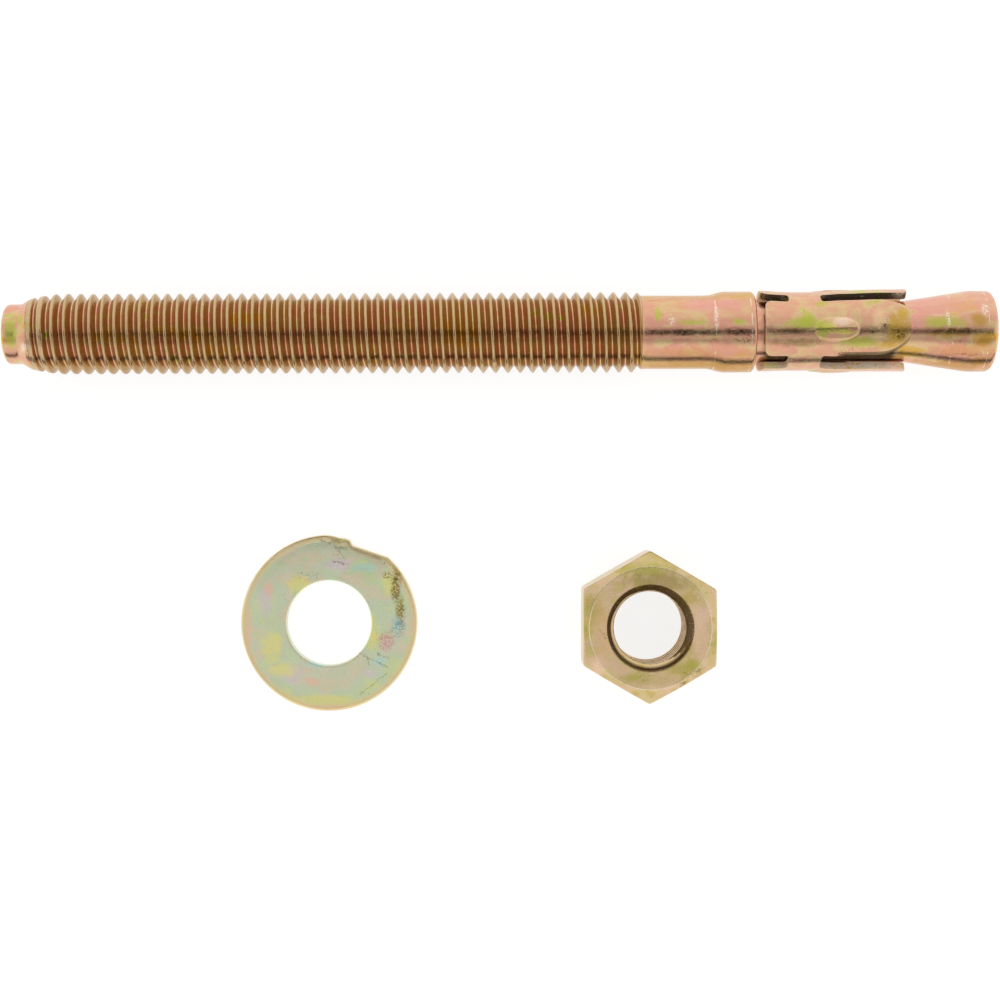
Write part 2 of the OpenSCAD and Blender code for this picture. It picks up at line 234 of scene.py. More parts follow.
def cut_mask(n, mm, cuts, wander):
    """Mask of thin ragged scratches, each (x, y, x, y, half width) seen from above."""
    flat = n.mapped(mm, (1, 1, 0))
    uneven = n.noise(mm, 3.0, 2.0, 0.6)
    shift = n.add("ShaderNodeVectorMath", operation="ADD")
    n.link(flat, shift.inputs[0])
    n.link(wander, shift.inputs[1])
    total = None
    for x0, y0, x1, y1, w in cuts:
        long = math.hypot(x1 - x0, y1 - y0)
        v = n.add("ShaderNodeVectorMath", operation="SUBTRACT")
        n.link(shift.outputs[0], v.inputs[0])
        v.inputs[1].default_value = (x0, y0, 0)
        along = n.add("ShaderNodeVectorMath", operation="DOT_PRODUCT")
        n.link(v.outputs[0], along.inputs[0])
        along.inputs[1].default_value = ((x1 - x0) / long, (y1 - y0) / long, 0)
        held = n.math("MINIMUM", n.math("MAXIMUM", along.outputs["Value"], 0.0), long)
        step = n.add("ShaderNodeVectorMath", operation="SCALE")
        step.inputs[0].default_value = ((x1 - x0) / long, (y1 - y0) / long, 0)
        n.link(held, step.inputs["Scale"])
        off = n.add("ShaderNodeVectorMath", operation="DISTANCE")
        n.link(v.outputs[0], off.inputs[0])
        n.link(step.outputs[0], off.inputs[1])
        near = n.math("SUBTRACT", 1.35, n.math("ADD", n.math("MULTIPLY", off.outputs["Value"], 1 / w), uneven), True)
        total = near if total is None else n.math("MAXIMUM", total, near)
    return total


def chromate(name, stops, seed, patch=(1, 1, 1), rough=0.17, relief=(), places=(), flank_reflection_tint=None, grain=1.0,
             scratch=(1, 12, 12), rings=(), scuffs_and_painted_streaks=(), cuts=(), veil=SAND, metal=1.0):
    """Yellow zinc chromate on steel: patches of tinted film over fine pits, scratches and bright nicks.

    places are (tint, amount, patches); flank_reflection_tint is (axis y, start, end, last x, tint), a painted golden
    reflection along the flanks of a round bar;
    scuffs are (tint, amount, threshold, patches): broken film, and also painted reflection streaks; cuts are scratches,
    (tint, lines).
    """
    mat = bpy.data.materials.new(name)
    n = Nodes(mat)
    coords = n.add("ShaderNodeTexCoord").outputs["Object"]
    true_mm = n.mapped(coords, (1000, 1000, 1000))
    mm = n.mapped(coords, (1000, 1000, 1000), (seed * 13.7, seed * 7.1, seed * 3.3))
    film = n.noise(n.mapped(mm, patch), 0.30, 3.0, 0.5, 0.4)
    fine = n.noise(mm, 2.6, 4.0, 0.62)
    colour = n.ramp(n.math("ADD", film, n.math("MULTIPLY", n.math("SUBTRACT", fine, 0.5), 0.10)), stops)
    tone = n.noise(mm, 0.55, 3.0, 0.55)
    colour = n.mix(n.math("MULTIPLY", n.math("SUBTRACT", tone, 0.45, True), 1.6, True), colour, veil)
    wobble = n.math("MULTIPLY", n.math("SUBTRACT", n.noise(mm, 0.9, 3.0, 0.6), 0.5), 1.5)
    # painted reflection: the flanks of the bar, as seen from above, are tinted gold
    if flank_reflection_tint:
        y0, start, end, x_end, tint = flank_reflection_tint
        sep = n.add("ShaderNodeSeparateXYZ")
        n.link(true_mm, sep.inputs[0])
        off = n.math("ABSOLUTE", n.math("SUBTRACT", sep.outputs["Y"], y0))
        m = n.add("ShaderNodeMapRange", interpolation_type="SMOOTHSTEP")
        m.inputs["From Min"].default_value = start
        m.inputs["From Max"].default_value = end
        m.inputs["To Max"].default_value = 0.62
        n.link(n.math("ADD", off, n.math("MULTIPLY", wobble, 1.1)), m.inputs["Value"])
        before = n.math("MULTIPLY", n.math("SUBTRACT", x_end, sep.outputs["X"]), 0.5, True)
        colour = n.mix(n.math("MULTIPLY", m.outputs["Result"], before), colour, tint)
    for tint, amount, patches in places:
        colour = n.mix(n.math("MULTIPLY", spots(n, true_mm, patches, wobble), amount), colour, tint)
    for attr, lo, hi, tint, amount in relief:
        a = n.add("ShaderNodeAttribute", attribute_name=attr, attribute_type="GEOMETRY").outputs["Fac"]
        m = n.add("ShaderNodeMapRange", interpolation_type="SMOOTHSTEP")
        m.inputs["From Min"].default_value = lo
        m.inputs["From Max"].default_value = hi
        m.inputs["To Max"].default_value = amount
        n.link(a, m.inputs["Value"])
        colour = n.mix(m.outputs["Result"], colour, tint)
    crumbs = n.noise(mm, 4.6, 4.0, 0.8)
    # broken film, and painted reflection streaks where a material lays them
    for tint, amount, threshold, patches in scuffs_and_painted_streaks:
        broken = n.math("MULTIPLY", spots(n, true_mm, patches, wobble), n.math("GREATER_THAN", crumbs, threshold))
        colour = n.mix(n.math("MULTIPLY", broken, amount), colour, tint)
    # pale sparks where the film is rubbed off, dark pits where it is thick
    spark = n.noise(mm, 4.2, 2.0, 0.75)
    colour = n.mix(n.math("MULTIPLY", n.math("GREATER_THAN", spark, 0.715), 0.8), colour, PALE)
    pits = n.noise(mm, 3.4, 3.0, 0.75)
    colour = n.mix(n.math("MULTIPLY", n.math("LESS_THAN", pits, 0.30), 0.55), colour, BROWN)
    lines = n.noise(n.mapped(mm, scratch), 0.9, 3.0, 0.65)
    long_lines = n.noise(n.mapped(mm, (scratch[0] * 0.25, scratch[1] * 2.2, scratch[2] * 2.2)), 0.8, 2.0, 0.6)
    scratches = n.ramp(lines, [(0.0, grey(1.0)), (0.30, grey(1.0)), (0.35, grey(0.0)), (1.0, grey(0.0))], "LINEAR")
    colour = n.mix(n.math("MULTIPLY", scratches, 0.35), colour, PALE)
    normal = None
    if cuts:
        tint, lines_at = cuts
        wander = n.add("ShaderNodeCombineXYZ")
        n.link(n.math("MULTIPLY", wobble, 0.35), wander.inputs[0])
        n.link(n.math("MULTIPLY", n.math("SUBTRACT", fine, 0.5), 1.3), wander.inputs[1])
        cut = cut_mask(n, true_mm, lines_at, wander.outputs[0])
        colour = n.mix(n.math("MULTIPLY", cut, 0.85), colour, tint)
        normal = n.bump(n.math("SUBTRACT", 1.0, cut), 0.6, 0.00008)
    if rings:
        # light scores round the bar
        sep = n.add("ShaderNodeSeparateXYZ")
        n.link(true_mm, sep.inputs[0])
        along = n.math("ADD", sep.outputs["X"], n.math("MULTIPLY", wobble, 0.12))
        score = None
        for x, w in rings:
            near = n.math("LESS_THAN", n.math("ABSOLUTE", n.math("SUBTRACT", along, x)), w)
            score = near if score is None else n.math("MAXIMUM", score, near)
        broken = n.math("GREATER_THAN", n.noise(mm, 0.7, 3.0, 0.7), 0.50)
        score = n.math("MULTIPLY", score, broken)
        colour = n.mix(n.math("MULTIPLY", score, 0.7), colour, PALE)
        normal = n.bump(score, 0.5, 0.00004, normal)
    roughness = n.math("ADD", n.math("MULTIPLY", fine, 0.14), rough - 0.07, True)
    roughness = n.math("ADD", roughness, n.math("MULTIPLY", tone, 0.08), True)
    normal = n.bump(n.noise(mm, 5.0, 3.0, 0.7), 0.42 * grain, 0.00003, normal)
    normal = n.bump(fine, 0.20 * grain, 0.00006, normal)
    normal = n.bump(long_lines, 0.14 * grain, 0.00003, normal)
    normal = n.bump(scratches, 0.25 * grain, 0.00003, normal)
    shader = n.add("ShaderNodeBsdfPrincipled", Metallic=metal)
    n.link(colour, shader.inputs["Base Color"])
    n.link(roughness, shader.inputs["Roughness"])
    n.link(normal, shader.inputs["Normal"])
    out = n.add("ShaderNodeOutputMaterial")
    n.link(shader.outputs[0], out.inputs["Surface"])
    return mat


TOP = AXIS_Z + 4.8
stud_mat = chromate(
    "stud chromate", [(0.32, GOLD), (0.42, SAND), (0.50, PINK), (0.58, ROSE), (0.66, SAND), (0.74, LIME)], 1,
    # painted golden reflection along both flanks of the stud, up to x = 50
    (0.6, 1.2, 1.2), flank_reflection_tint=(STUD_Y, 2.9, 4.4, 50.0, srgb(206, 160, 88)),
    # painted shade: the thread's roots are tinted brown; its crests are lightened as rubbed wear
    relief=[("ridge", 0.02, 0.12, srgb(160, 122, 64), 0.75), ("ridge", 0.88, 0.99, srgb(214, 192, 154), 0.60),
            # painted shade: the neck under the clip is tinted dark brown to stand for the shade in the clip's gaps
            ("painted_shade_under_clip", 0.1, 0.9, srgb(46, 32, 20), 0.9)],
    places=[
        (LIME, 0.85, [(52.6, 21.4, TOP, 3.2, 0.9), (51.9, 18.3, TOP, 0.8, 0.5), (23.0, 21.4, TOP, 1.6, 0.5),
                      (28.6, 21.4, TOP, 0.9, 0.5), (19.0, 22.4, TOP, 0.5, 1.0), (-58.3, 20.8, 8.0, 0.8, 2.0),
                      (-57.2, 22.0, 8.2, 0.5, 0.8)]),
        (srgb(192, 150, 64), 0.75, [(53.4, 20.0, TOP, 3.0, 0.7), (57.3, 21.6, TOP, 1.3, 1.0), (57.5, 17.0, 7.5, 1.5, 0.8)]),
        (srgb(228, 164, 150), 0.75, [(53.0, 23.6, 8.0, 4.5, 1.7), (57.6, 23.4, 8.0, 1.6, 1.4), (54.5, 17.6, 8.0, 4.0, 0.9),
                                    (25.0, 23.6, 8.0, 5.0, 0.9), (50.2, 21.6, 8.6, 1.0, 2.2)]),
        # the first two patches are painted reflection, gold strips along the lower flank
        (srgb(190, 142, 62), 0.75, [(54.0, 15.9, 6.2, 6.5, 1.5), (24.0, 15.9, 6.2, 8.5, 1.3), (57.8, 19.0, 9.0, 1.2, 0.8)]),
        (srgb(212, 152, 102), 0.7, [(55.0, 17.9, 9.0, 5.0, 0.8), (24.5, 17.7, 9.0, 7.5, 0.9)]),
        # painted highlight: a pale glint on the flare's facet by the dog point
        (PALE, 0.8, [(-56.7, 18.7, 8.2, 0.55, 0.75)]),
        (ROSE, 0.95, [(27.0, 18.2, TOP, 2.8, 1.3)]),
    ],
    scuffs_and_painted_streaks=[
        # painted reflection: the first two rows lay dark broken streaks along the top of the bar and one on its lower
        # flank; the last row is pale broken film
        (srgb(84, 58, 34), 0.9, 0.47, [(22.0, 20.15, TOP, 5.0, 0.42), (28.6, 20.15, TOP, 1.8, 0.40),
                                       (53.0, 20.2, TOP, 4.4, 0.42)]),
        (srgb(120, 78, 46), 0.8, 0.52, [(22.5, 19.2, TOP, 5.0, 0.35), (29.0, 19.2, TOP, 1.6, 0.35),
                                        (53.0, 18.9, TOP, 4.4, 0.35), (54.0, 17.5, 8.6, 5.0, 0.20)]),
        (srgb(255, 246, 232), 0.9, 0.52, [(52.2, 22.3, TOP, 1.7, 0.45), (53.6, 21.8, TOP, 0.3, 1.2), (20.6, 21.6, TOP, 0.5, 0.6),
                           (26.0, 22.0, TOP, 0.3, 1.5), (58.0, 22.6, TOP, 0.5, 1.2)]),
    ],
    rings=[(25.95, 0.06), (30.2, 0.07), (54.2, 0.06), (58.4, 0.05)])
clip_mat = chromate(
    "clip chromate", [(0.30, LIME), (0.38, SAND), (0.48, PINK), (0.57, SAND), (0.66, ROSE), (0.76, GOLD)], 2, (0.8, 1, 1),
    rough=0.20, veil=srgb(204, 172, 130),
    # painted shade on the drawn-down strip and along the creases; the rubbed edges also carry painted highlights on the
    # boss
    relief=[("strip", 0.3, 0.9, srgb(164, 138, 88), 0.75), ("painted_crease_shade", 0.15, 0.7, srgb(70, 50, 28), 0.9),
            ("rub_and_highlight", 0.3, 0.9, PALE, 0.35)],
    places=[
        (LIME, 0.8, [(35.8, 21.2, TOP, 1.9, 0.7), (38.4, 20.6, TOP, 1.1, 1.2), (43.0, 18.9, TOP, 2.8, 0.7),
                     (38.5, 23.4, 8.0, 0.9, 0.6), (43.5, 25.4, 6.5, 1.5, 0.5)]),
        (srgb(206, 168, 72), 0.9, [(47.4, 20.4, TOP, 1.7, 2.3), (46.6, 18.6, TOP, 1.6, 0.6), (48.0, 22.4, TOP, 0.8, 0.9)]),
        (srgb(238, 204, 160), 0.7, [(45.4, 21.0, TOP, 1.1, 2.2)]),
        (PINK, 0.8, [(33.8, 22.6, TOP, 1.6, 1.2), (33.6, 18.2, TOP, 1.5, 1.0)]),
        (srgb(212, 206, 96), 0.8, [(39.4, 20.8, TOP, 0.9, 0.7)]),
        (srgb(246, 216, 190), 0.85, [(40.9, 21.3, TOP, 1.3, 0.6)]),
        (srgb(226, 212, 106), 0.85, [(41.0, 20.2, TOP, 1.5, 0.5)]),
        # painted reflection: brown bands along the lip, continuing the dark streaks over the bar
        (srgb(150, 116, 76), 0.6, [(35.8, 18.9, TOP, 3.0, 0.6), (35.0, 20.4, TOP, 2.4, 0.3)]),
    ],
    scuffs_and_painted_streaks=[
        # the dark brown rows lay painted reflection streaks along the top and lower side of the clip, broken up like
        # worn film
        (srgb(84, 62, 36), 0.85, 0.50, [(34.6, 20.2, TOP, 2.6, 0.34), (44.6, 20.2, TOP, 1.2, 0.28),
                                        (46.0, 20.8, TOP, 0.6, 0.5), (47.8, 19.8, TOP, 0.7, 0.6)]),
        (srgb(112, 84, 46), 0.6, 0.57, [(42.5, 18.0, 9.4, 3.8, 0.45), (46.6, 20.4, TOP, 1.6, 2.2), (36.0, 19.0, TOP, 3.5, 0.5)]),
        (PALE, 0.8, 0.60, [(35.8, 22.6, TOP, 1.0, 0.8), (39.6, 20.6, TOP, 0.8, 0.3), (47.3, 21.4, TOP, 1.4, 0.5)]),
    ])
sheared_mat = chromate(
    "sheared edges", [
        (0.30, srgb(214, 172, 118)), (0.42, srgb(244, 208, 120)), (0.52, srgb(252, 212, 190)),
        (0.62, srgb(255, 240, 214)), (0.72, srgb(190, 178, 104))],
    5, (3, 3, 3), rough=0.50, grain=3.0, scratch=(3, 3, 3), veil=srgb(246, 214, 170), metal=0.35,
    places=[
        # painted shade: the sheared faces of the upper gaps are tinted nearly black
        (srgb(46, 34, 20), 0.92, [(43.5, 24.6, 7.6, 10.0, 1.4), (33.0, 24.6, 7.6, 2.2, 1.4)]),
        (srgb(246, 236, 120), 0.7, [(33.0, 16.2, 6.4, 1.2, 1.0)]),
    ],
    scuffs_and_painted_streaks=[
        (BROWN, 0.6, 0.62, [(43.5, 16.0, 6.0, 9.0, 3.0)]),
        (srgb(255, 250, 238), 0.85, 0.52, [(43.5, 16.2, 6.0, 8.0, 2.4), (33.0, 16.2, 6.0, 2.0, 2.0)]),
    ])
washer_mat = chromate(
    "washer chromate", [
        (0.28, srgb(234, 226, 136)), (0.38, srgb(216, 226, 172)), (0.46, srgb(208, 222, 188)), (0.54, srgb(214, 218, 190)),
        (0.61, srgb(226, 214, 186)), (0.68, srgb(204, 224, 180)), (0.78, srgb(236, 228, 146))],
    3, (0.7, 0.7, 0.7), rough=0.26, scratch=(6, 6, 6), veil=srgb(212, 214, 172),
    # painted sheen: the rounded rim is tinted a pale gold band
    relief=[("rim", 0.05, 0.55, srgb(236, 208, 156), 0.7), ("burr", 0.25, 0.8, srgb(206, 196, 132), 0.6)],
    places=[
        (srgb(244, 200, 176), 0.8, [(-28.4, -10.8, 2, 0.7, 1.1), (-23.0, -22.0, 2, 0.8, 0.6)]),
        (srgb(226, 206, 216), 0.6, [(-28.9, -12.2, 2, 1.1, 1.6), (-25.6, -21.2, 2, 1.6, 1.2), (-16.0, -21.0, 2, 1.0, 0.8),
                                    (-20.0, -7.6, 2, 2.2, 0.9)]),
        (srgb(240, 230, 136), 0.65, [(-24.6, -10.0, 2, 1.8, 1.1), (-27.4, -17.2, 2, 0.7, 1.6), (-13.6, -9.8, 2, 0.9, 1.8),
                                     (-26.8, -20.6, 2, 1.8, 1.0), (-21.8, -24.3, 1.8, 4.5, 0.8),
                                     (-28.2, -17.6, 2, 1.5, 2.4), (-17.6, -12.0, 2, 0.8, 1.4)]),
        # painted sheen on the rim at left and bottom
        (srgb(244, 204, 176), 0.7, [(-20.4, -25.3, 1.7, 5.5, 0.45), (-30.9, -15.4, 1.7, 0.45, 4.0)]),
        (srgb(186, 226, 220), 0.6, [(-12.6, -15.0, 2, 0.7, 1.2), (-16.6, -8.0, 2, 1.6, 0.6), (-22.5, -19.8, 2, 1.6, 0.6),
                                    (-14.8, -19.6, 2, 1.2, 0.6)]),
        (srgb(232, 202, 194), 0.7, [(-14.0, -17.2, 2, 1.1, 1.2)]),
    ],
    scuffs_and_painted_streaks=[
        (srgb(168, 148, 62), 0.8, 0.43, [(-12.7, -10.4, 2, 0.7, 2.6), (-12.2, -13.2, 2, 0.7, 1.8)]),
        (srgb(92, 84, 46), 0.8, 0.54, [(-12.8, -10.6, 2, 0.6, 2.6), (-12.0, -13.4, 2, 0.5, 1.6), (-13.9, -8.9, 2, 0.8, 0.5)]),
        (srgb(122, 166, 170), 0.75, 0.49, [(-12.4, -15.2, 2, 0.9, 1.3)]),
        (srgb(206, 150, 136), 0.75, 0.49, [(-14.0, -17.0, 2, 1.1, 1.3)]),
        (srgb(132, 128, 96), 0.35, 0.62, [(-21, -14.8, 2, 10, 10)]),
        (srgb(130, 116, 66), 0.7, 0.56, [(-19.4, -6.0, 2, 1.2, 1.0), (-13.6, -7.4, 2, 1.4, 0.6), (-23.6, -8.9, 2, 2.0, 0.5)]),
        (PALE, 0.8, 0.58, [(-18.8, -5.6, 2, 1.4, 1.2), (-23.5, -10.4, 2, 2.2, 0.5)]),
    ],
    cuts=(srgb(84, 78, 52), [
        (-17.6, -18.3, -15.6, -19.4, 0.09), (-15.6, -19.4, -13.8, -20.2, 0.08), (-16.4, -18.8, -16.0, -20.0, 0.06),
        (-15.0, -18.6, -13.6, -19.2, 0.06), (-13.3, -15.8, -12.1, -14.9, 0.06), (-17.2, -23.6, -13.8, -21.0, 0.07),
        (-20.3, -5.2, -19.0, -6.9, 0.07), (-20.6, -7.2, -18.6, -7.6, 0.06), (-22.4, -4.4, -20.8, -5.0, 0.06)]))
nut_mat = chromate(
    "nut chromate", [
        (0.30, srgb(182, 176, 92)), (0.40, srgb(204, 180, 114)), (0.48, srgb(216, 194, 142)), (0.57, srgb(222, 190, 156)),
        (0.66, srgb(208, 188, 126)), (0.76, srgb(190, 184, 106))], 4, (0.8, 0.8, 0.8), rough=0.24, scratch=(5, 5, 5),
    veil=srgb(214, 186, 138),
    # painted shade in the countersink and the bore's thread roots, painted highlight on the bore's thread crests and
    # along the top face's edge
    relief=[("sink", 0.25, 0.7, srgb(88, 64, 32), 0.9), ("crest", 0.4, 0.9, srgb(226, 196, 152), 0.6),
            ("fold", 0.2, 0.8, srgb(250, 236, 196), 0.85)],
    places=[
        (srgb(238, 202, 176), 0.7, [(24.2, -15.4, 8, 1.6, 3.8), (19.6, -21.6, 8, 3.0, 1.4), (12.0, -19.5, 8, 1.2, 1.4)]),
        (srgb(180, 176, 82), 0.75, [(18.2, -8.0, 8, 3.2, 1.0), (23.0, -19.6, 8, 1.2, 0.8), (16.0, -21.0, 8, 0.9, 0.6)]),
        (srgb(156, 140, 76), 0.6, [(19.0, -9.6, 8.4, 4.2, 1.3)]),
        (srgb(226, 188, 146), 0.6, [(12.6, -15.6, 8.4, 1.4, 4.0)]),
        (srgb(192, 176, 104), 0.55, [(17.6, -21.2, 8.4, 4.0, 0.9), (21.4, -19.8, 8.4, 1.6, 1.0)]),
    ],
    scuffs_and_painted_streaks=[
        (srgb(92, 70, 40), 0.8, 0.52, [(21.6, -21.6, 7.6, 1.0, 0.5), (23.8, -20.4, 7.6, 0.5, 0.4), (14.0, -21.9, 7.4, 1.5, 0.2)]),
        (srgb(168, 164, 74), 0.8, 0.52, [(16.6, -9.6, 8.4, 1.0, 0.9), (17.4, -21.0, 8.4, 0.8, 0.7)]),
        (PALE, 0.7, 0.60, [(13.4, -11.6, 8.4, 1.2, 2.2), (23.6, -13.0, 8.4, 1.2, 3.0)]),
    ],
    cuts=(srgb(104, 84, 48), [
        (11.7, -15.2, 12.9, -15.9, 0.06), (12.3, -15.9, 12.9, -16.4, 0.05), (24.6, -19.8, 22.6, -20.6, 0.06),
        (22.4, -21.4, 21.6, -22.2, 0.07), (23.6, -21.0, 22.0, -20.4, 0.05)]))


# Stud

def thread_share(x, th):
    """Height of an endless right-hand thread over its root, from 0 to 1, and the distance from its crest, at each place."""
    ph = (x - X_LAST_CREST) / PITCH - th / TURN
    d = np.abs(ph - np.round(ph)) * PITCH
    flank = (PITCH - CREST_FLAT - ROOT_FLAT) / 2
    return (PITCH / 2 - ROOT_FLAT / 2 - d) / flank, d


def swell(x, x0, x1, r0, r1):
    return r0 + (r1 - r0) * smooth((x - x0) / (x1 - x0))


# How far the flare behind the dog point lets the thread's crests rise
FLARE_X = [-57.95, -57.65, -57.3, -56.6, -55.9, -55.1, -54.4, -53.6, -52.6]
FLARE_R = [POINT_R, 3.70, 3.90, 4.30, 4.46, 4.63, 4.73, 4.82, 4.90]


def stud_radius(x, th):
    """Outside of the stud as rows of x by columns of angle."""
    base = np.full_like(x, POINT_R)
    base = np.where(x > X_SHANK - 1, SHANK_R, base)
    base = np.where(x > X_SWELL, swell(x, X_SWELL + 0.6, X_COLLAR - 0.3, SHANK_R, COLLAR_R), base)
    base = np.where(x > X_NECK, NECK_R, base)
    cone = NECK_R + (LAND_R - NECK_R) * (x - X_CONE) / (X_LAND - X_CONE)
    cone = soft_min(soft_max(cone, NECK_R, 0.12), LAND_R, 0.10)
    base = np.where(x > X_CONE - 1.5, cone, base)
    # the first turns are not rolled full: the flare cuts their crests low, wide and lapped
    start = np.mod(th / TURN - 0.75, 1.0)
    turns = (x - X_THREAD) / PITCH - start + 1.05
    full = np.interp(x, FLARE_X, FLARE_R)
    grown = np.clip((full - ROOT_R) / (CREST_R - ROOT_R), 0.2, 1.0)
    share, d = thread_share(x, th)
    share = soft_max(soft_min(share, 1.0, 0.06), 0.0, 0.06)
    lap = 0.06 * np.exp(-(d / 0.07) ** 2) * (share > 0.3) * (0.2 + 2.0 * (1 - grown))
    root = soft_min(full, ROOT_R, 0.05)
    cut = soft_min(root + (CREST_R - ROOT_R) * (share - lap), full, 0.05)
    threaded = full + (cut - full) * smooth((turns - 0.25) / 0.7)
    share = np.minimum(share, grown)
    away = smooth((X_SHANK + 0.25 - x + 0.35 * (th / TURN)) / 1.1)
    r = np.where((x > FLARE_X[0]) & (x < X_SHANK + 1), base * (1 - away) + threaded * away, base)
    ridge = np.where((turns > 0.6) & (x < X_SHANK), np.clip(share / grown, 0, 1), 0.0)
    # painted shade on the neck where the clip covers it
    painted_shade_under_clip = smooth((x - 31.95) / 0.35) * smooth((48.4 - x) / 1.6)
    return r, ridge, painted_shade_under_clip


def stud_mesh():
    n = 96
    rounding = POINT_ROUND
    xs = list(X_START + rounding * (1 - np.cos(np.linspace(0, PI / 2, 7))))
    xs += list(np.linspace(X_START + 0.8, FLARE_X[0] - 0.1, 4))
    xs += list(np.arange(FLARE_X[0], X_SHANK + 0.7, PITCH / 17))
    xs += list(np.arange(X_SHANK + 1.0, X_SWELL - 0.2, 0.8))
    xs += list(np.linspace(X_SWELL, X_COLLAR, 12))
    xs += list(np.linspace(X_COLLAR + 0.5, X_NECK - COLLAR_ROUND, 5))
    collar_edge = list(X_NECK - COLLAR_ROUND + COLLAR_ROUND * np.sin(np.linspace(0, PI / 2, 7))[1:])
    xs += collar_edge
    xs += [X_NECK + 0.012, X_NECK + 0.06, X_NECK + 0.3]
    xs += list(np.linspace(X_NECK + 2, X_CONE - 1.6, 8))
    xs += list(np.linspace(X_CONE - 1.2, X_LAND + 1, 30))
    land_edge = LAND_ROUND
    xs += [X_LAND + 1.5]
    xs += list(X_END - land_edge + land_edge * np.sin(np.linspace(0, PI / 2, 8)))
    xs = np.array(sorted(set(np.round(xs, 5))))
    th = np.arange(n) * TURN / n
    gx, gt = np.meshgrid(xs, th, indexing="ij")
    r, ridge, painted_shade_under_clip = stud_radius(gx, gt)
    # rounded edges of the struck end, the collar and the land
    d = np.clip((X_START + rounding - gx) / rounding, 0, 1)
    r = np.where(gx < X_START + rounding, POINT_R - rounding * (1 - np.sqrt(np.clip(1 - d * d, 0, 1))), r)
    d = np.clip((gx - (X_NECK - COLLAR_ROUND)) / COLLAR_ROUND, 0, 1)
    r = np.where((gx > X_NECK - COLLAR_ROUND) & (gx <= X_NECK + 1e-6), COLLAR_R - COLLAR_ROUND * (1 - np.sqrt(np.clip(1 - d * d, 0, 1))), r)
    d = np.clip((gx - (X_END - land_edge)) / land_edge, 0, 1)
    r = np.where(gx > X_END - land_edge, LAND_R - land_edge * (1 - np.sqrt(np.clip(1 - d * d, 0, 1))), r)
    # handling marks: the plating and forming leave it slightly uneven
    worn = ripple(gx, gt * 4.5, 11, 5.0) * 0.010 + ripple(gx, gt * 4.5, 12, 1.4) * 0.004
    nicks = np.clip(ripple(gx, gt * 4.5, 13, 2.2) - 0.75, 0, 1) * 0.12 * (ridge > 0.8)
    r = r + np.where(gx > X_START + rounding, worn, 0) - nicks
    y = r * np.cos(gt) + STUD_Y
    z = r * np.sin(gt) + AXIS_Z
    rows_n = len(xs)
    verts = np.stack([gx, y, z], axis=-1).reshape(-1, 3)
    ridge = ridge.reshape(-1)
    faces = []
    for i in range(rows_n - 1):
        a, b = i * n, (i + 1) * n
        faces += [(a + j, a + (j + 1) % n, b + (j + 1) % n, b + j) for j in range(n)]
    faces = [f[::-1] for f in faces]
    # end faces, a little uneven as the shear leaves them
    extra_v, extra_r = [], []
    for row, x, out, bulge in ((0, X_START, -1, 0.06), (rows_n - 1, X_END, 1, 0.05)):
        r0 = (POINT_R if out < 0 else LAND_R) - (rounding if out < 0 else land_edge)
        rings = [row * n]
        for k, share in enumerate((0.86, 0.6, 0.32)):
            rr = r0 * share
            start = len(verts) + len(extra_v)
            for t in th:
                px, py = rr * math.cos(t), rr * math.sin(t)
                h = float(ripple(np.float64(px), np.float64(py), 21 + row % 7, 3.0)) * 0.02 - bulge * (1 - share) * 0.3
                extra_v.append((x + out * min(h, 0.0), STUD_Y + px, AXIS_Z + py))
                extra_r.append(0.0)
            rings.append(start)
        centre = len(verts) + len(extra_v)
        extra_v.append((x - out * 0.02, STUD_Y, AXIS_Z))
        extra_r.append(0.0)
        for a, b in zip(rings, rings[1:]):
            for j in range(n):
                q = (a + j, a + (j + 1) % n, b + (j + 1) % n, b + j)
                faces.append(q if out < 0 else q[::-1])
        a = rings[-1]
        for j in range(n):
            t = (a + j, a + (j + 1) % n, centre)
            faces.append(t if out < 0 else t[::-1])
    verts = np.vstack([verts, np.array(extra_v)])
    ridge = np.concatenate([ridge, np.array(extra_r)])
    painted_shade_under_clip = np.concatenate([painted_shade_under_clip.reshape(-1), np.array(extra_r)])
    return verts, faces, {"ridge": ridge, "painted_shade_under_clip": painted_shade_under_clip}


verts, faces, extra = stud_mesh()
stud = build("anchor_stud_skin", verts, faces, "stud", "anchor_stud", stud_mat, extra)


# Expansion clip: the flat strip's outline, rolled round the neck

NEAR_GAP = MIDDLE_HALF + math.asin(NEAR_HALF_W / LEAF_R)
FAR_GAP = MIDDLE_HALF + math.asin(FAR_HALF_W / LEAF_R)


def gap_half(x, full):
    """Half width of a gap at x: closed over the webs, square with rounded corners at its closed ends."""
    if LIP_LEN <= x <= SLOT_AT:
        return 0.0
    deep = LIP_LEN - x if x < LIP_LEN else x - SLOT_AT
    c = 0.5
    w = full if deep >= c else full * (1 - (1 - deep / c) ** 3.0) ** (1 / 3.0)
    for left, corner in ((x, 0.9), (CLIP_LEN - x, 0.5)):
        if left < corner:
            w += corner * (1 - math.sqrt(max(0.0, 1 - (1 - left / corner) ** 2)))
    return w


